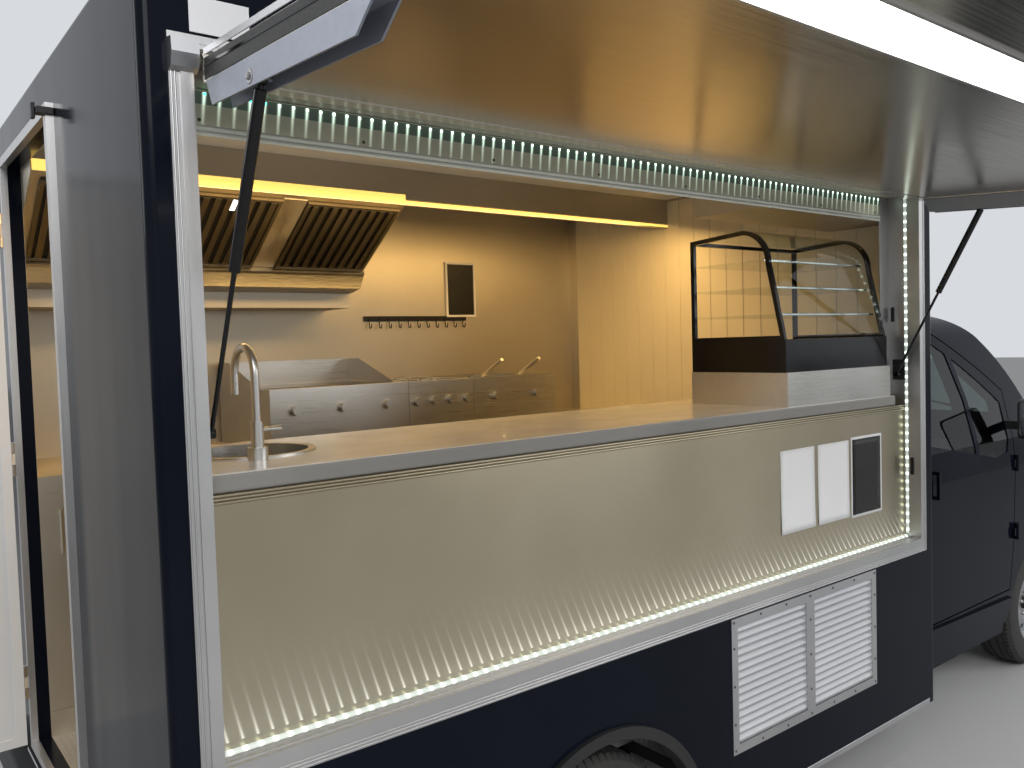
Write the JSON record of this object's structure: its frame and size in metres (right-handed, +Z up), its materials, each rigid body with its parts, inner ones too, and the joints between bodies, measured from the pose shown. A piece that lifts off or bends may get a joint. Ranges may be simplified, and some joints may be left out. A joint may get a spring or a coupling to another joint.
{
  "type": "food truck",
  "caption": "Food truck on a low van chassis: box body with a long service hatch under a lifting flap, counter, display case and extractor hood, and an open rear door.",
  "frame": {"origin": "on the ground, in the middle of the plan that the truck covers with its flap and rear door open", "axes": "+X forward, +Y to the driver's left, +Z up"},
  "size_m": [6.278, 3.7317, 2.6999],
  "materials": {
    "aluminium": "satin",
    "black_gloss": "gloss",
    "black_paint": "gloss",
    "black_plastic": "grained",
    "cast_metal": "rough",
    "chassis_black": "matt",
    "galvanised": "matt",
    "glass": "clear",
    "lamp": "gloss",
    "red_lamp": "gloss",
    "rim_steel": "satin",
    "seat_fabric": "woven",
    "stainless": "brushed",
    "tyre": "matt",
    "white_panel": "satin",
    "worktop": "gloss"
  },
  "bodies": {
    "truck": {"arch_trims": "black_plastic", "back_counter": "stainless", "box_floor": "aluminium", "box_frame": "black_paint", "box_roof": "white_panel", "cab_seats": "seat_fabric", "cab_shell": "black_paint", "chassis_frame": "chassis_black", "cooking_range": "stainless", "counter_top": "worktop", "dashboard": "black_plastic", "display_case": "black_gloss", "display_glass": "glass", "door_surround": "aluminium", "end_walls": "black_paint", "engine_block": "cast_metal", "exhaust": "galvanised", "extractor_hood": "stainless", "front_bumper": "black_plastic", "front_cabinet": "stainless", "front_grille": "black_plastic", "fuel_tank": "black_plastic", "hatch_frame": "aluminium", "headlamps": "lamp", "rear_axle": "chassis_black", "rear_bumper": "black_plastic", "rear_lamps": "red_lamp", "service_panel": "stainless", "sink_tap": "stainless", "steering_wheel": "black_plastic", "strut_brackets": "black_plastic", "vent_grille": "aluminium", "wall_left": "black_paint", "wall_right": "black_paint", "windscreen": "glass"},
    "wheel_front_left": {"tyre_front_left": "tyre", "rim_front_left": "rim_steel"},
    "wheel_front_right": {"tyre_front_right": "tyre", "rim_front_right": "rim_steel"},
    "wheel_rear_left": {"tyre_rear_left": "tyre", "rim_rear_left": "rim_steel"},
    "wheel_rear_right": {"tyre_rear_right": "tyre", "rim_rear_right": "rim_steel"},
    "steering_left": {"knuckle_left": "cast_metal"},
    "steering_right": {"knuckle_right": "cast_metal"},
    "left_cab_door": {"cab_door_left": "black_paint", "door_glass_left": "glass", "mirror_left": "black_plastic"},
    "right_cab_door": {"cab_door_right": "black_paint", "door_glass_right": "glass", "mirror_right": "black_plastic"},
    "bonnet_lid": {"bonnet": "black_paint"},
    "back_door": {"rear_door": "white_panel"},
    "flap": {"service_flap": "aluminium", "flap_lamp": "lamp", "flap_channels": "aluminium"},
    "cylinder_rear": {"strut_cylinder_rear": "black_gloss"},
    "cylinder_front": {"strut_cylinder_front": "black_gloss"},
    "rod_rear": {"strut_rod_rear": "stainless"},
    "rod_front": {"strut_rod_front": "stainless"}
  },
  "joints": [
    {"name": "steer_right", "type": "hinge", "parent": "truck", "child": "steering_right", "pos_m": [2.309, -0.04882, 0.215], "axis": [0, 0.1288, 0.9917], "range_deg": [-35, 35]},
    {"name": "spin_front_right", "type": "hinge", "parent": "steering_right", "child": "wheel_front_right", "pos_m": [2.309, -0.13382, 0.33], "axis": [0, 1, 0], "continuous": true},
    {"name": "spin_rear_right", "type": "hinge", "parent": "truck", "child": "wheel_rear_right", "pos_m": [-1.191, -0.28382, 0.33], "axis": [0, 1, 0], "continuous": true},
    {"name": "steer_left", "type": "hinge", "parent": "truck", "child": "steering_left", "pos_m": [2.309, 1.40118, 0.215], "axis": [0, -0.1288, 0.9917], "range_deg": [-35, 35]},
    {"name": "spin_front_left", "type": "hinge", "parent": "steering_left", "child": "wheel_front_left", "pos_m": [2.309, 1.48618, 0.33], "axis": [0, 1, 0], "continuous": true},
    {"name": "spin_rear_left", "type": "hinge", "parent": "truck", "child": "wheel_rear_left", "pos_m": [-1.191, 1.63618, 0.33], "axis": [0, 1, 0], "continuous": true},
    {"name": "right_door_hinge", "type": "hinge", "parent": "truck", "child": "right_cab_door", "pos_m": [1.9645, -0.28282, 1], "axis": [0, 0, 1], "range_deg": [0, 70]},
    {"name": "left_door_hinge", "type": "hinge", "parent": "truck", "child": "left_cab_door", "pos_m": [1.9645, 1.63518, 1], "axis": [0, 0, -1], "range_deg": [0, 70]},
    {"name": "bonnet_hinge", "type": "hinge", "parent": "truck", "child": "bonnet_lid", "pos_m": [2.402, 0.67618, 1.229], "axis": [0, -1, 0], "range_deg": [0, 55]},
    {"name": "back_door_hinge", "type": "hinge", "parent": "truck", "child": "back_door", "pos_m": [-2.389, 1.13018, 1.52], "axis": [0, 0, 1], "range_deg": [-20, 90]},
    {"name": "flap_hinge", "type": "hinge", "parent": "truck", "child": "flap", "pos_m": [-0.819, -0.45082, 2.44], "axis": [1, 0, 0], "range_deg": [0, 86]},
    {"name": "strut_pivot_rear", "type": "hinge", "parent": "flap", "child": "cylinder_rear", "pos_m": [-2.227, -0.70256, 2.32716], "axis": [1, 0, 0], "range_deg": [-114.56, 0]},
    {"name": "strut_slide_rear", "type": "slide", "parent": "cylinder_rear", "child": "rod_rear", "axis": [0, 0.4709, -0.8822], "range_m": [-0.2319, 0]},
    {"name": "strut_pivot_front", "type": "hinge", "parent": "flap", "child": "cylinder_front", "pos_m": [0.589, -0.70256, 2.32716], "axis": [1, 0, 0], "range_deg": [-114.56, 0]},
    {"name": "strut_slide_front", "type": "slide", "parent": "cylinder_front", "child": "rod_front", "axis": [0, 0.4709, -0.8822], "range_m": [-0.2319, 0]}
  ],
  "couplings": [
    {"joint": "steer_left", "follows": "steer_right", "ratio": 1},
    {"joint": "strut_pivot_rear", "follows": "flap_hinge", "ratio": -1.332},
    {"joint": "strut_slide_rear", "follows": "flap_hinge", "m_per_rad": -0.15449},
    {"joint": "strut_pivot_front", "follows": "flap_hinge", "ratio": -1.332},
    {"joint": "strut_slide_front", "follows": "flap_hinge", "m_per_rad": -0.15449}
  ]
}
